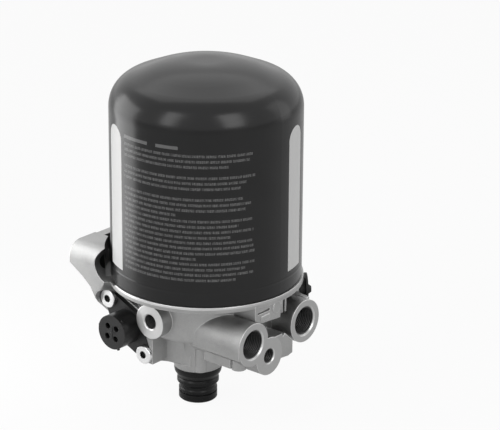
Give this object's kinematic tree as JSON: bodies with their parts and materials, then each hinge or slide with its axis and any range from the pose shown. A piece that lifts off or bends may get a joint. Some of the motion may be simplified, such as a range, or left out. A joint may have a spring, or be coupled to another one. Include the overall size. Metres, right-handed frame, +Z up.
{
  "type": "compressed air dryer",
  "caption": "Air dryer for a vehicle brake system: spin-on desiccant canister on a die-cast valve housing with threaded ports, heater socket and exhaust stub.",
  "frame": {"origin": "Midway between the two upper mounting holes, on the mounting face.", "axes": "+Z up along the canister, +X away from the mounting face and out of the two large ports, -Y out of the pilot port and the heater socket."},
  "size_m": [0.1468, 0.14, 0.2526],
  "materials": {
    "cast_aluminium": "die cast, fine grain, machined faces on the ports",
    "plated_steel": "zinc plated",
    "black_paint": "gloss black with pale printed bands",
    "black_rubber": "smooth",
    "black_rubber_cap": "satin moulded",
    "cup_plastic": "natural",
    "fleece": "felted",
    "desiccant": "packed beads",
    "spring_steel": "bare",
    "turned_aluminium": "turned",
    "black_plastic": "moulded, fine grain",
    "check_plastic": "moulded",
    "brass": "turned",
    "contact_metal": "tin plated",
    "zinc_screw": "bright zinc",
    "brushed_rod": "bare"
  },
  "bodies": {
    "housing_body": {"housing": "cast_aluminium", "threaded_stud": "plated_steel", "exhaust_stub": "black_plastic", "exhaust_seal": "black_rubber", "check_cage": "turned_aluminium", "regeneration_nozzle": "brass", "governor_screw": "plated_steel", "governor_cap": "black_rubber_cap", "heater_socket": "black_plastic", "socket_contacts": "contact_metal", "socket_seal": "black_rubber", "socket_screws": "zinc_screw", "heater_rod": "brushed_rod", "drain_spring": "spring_steel", "check_spring": "spring_steel", "governor_spring": "spring_steel"},
    "cartridge": {"canister_shell": "black_paint", "base_plate": "plated_steel", "cartridge_gasket": "black_rubber", "stud_seal": "black_rubber", "desiccant_cup": "cup_plastic", "lower_screen": "plated_steel", "lower_fleece": "fleece", "desiccant_bed": "desiccant", "upper_fleece": "fleece", "upper_screen": "plated_steel", "press_spring": "spring_steel", "oil_separator": "fleece"},
    "drain_valve": {"drain_stem": "plated_steel", "drain_seat_ring": "black_rubber", "drain_piston": "turned_aluminium", "drain_piston_seal": "black_rubber"},
    "check_valve": {"check_disc": "check_plastic"},
    "governor_slide": {"governor_piston": "turned_aluminium"}
  },
  "joints": [
    {"name": "cartridge_lift", "type": "slide", "parent": "housing_body", "child": "cartridge", "axis": [0, 0, 1], "range_m": [0, 0.045]},
    {"name": "drain_open", "type": "slide", "parent": "housing_body", "child": "drain_valve", "axis": [0, 0, -1], "range_m": [0, 0.003], "stiffness_N_per_m": 3000, "springref_m": -0.004, "deforming": ["drain_spring"]},
    {"name": "check_open", "type": "slide", "parent": "housing_body", "child": "check_valve", "axis": [1, 0, 0], "range_m": [0, 0.003], "stiffness_N_per_m": 400, "springref_m": -0.005, "deforming": ["check_spring"]},
    {"name": "governor_travel", "type": "slide", "parent": "housing_body", "child": "governor_slide", "axis": [0.7071, 0.7071, 0], "range_m": [0, 0.0015], "stiffness_N_per_m": 4000, "springref_m": -0.002, "deforming": ["governor_spring"]}
  ]
}
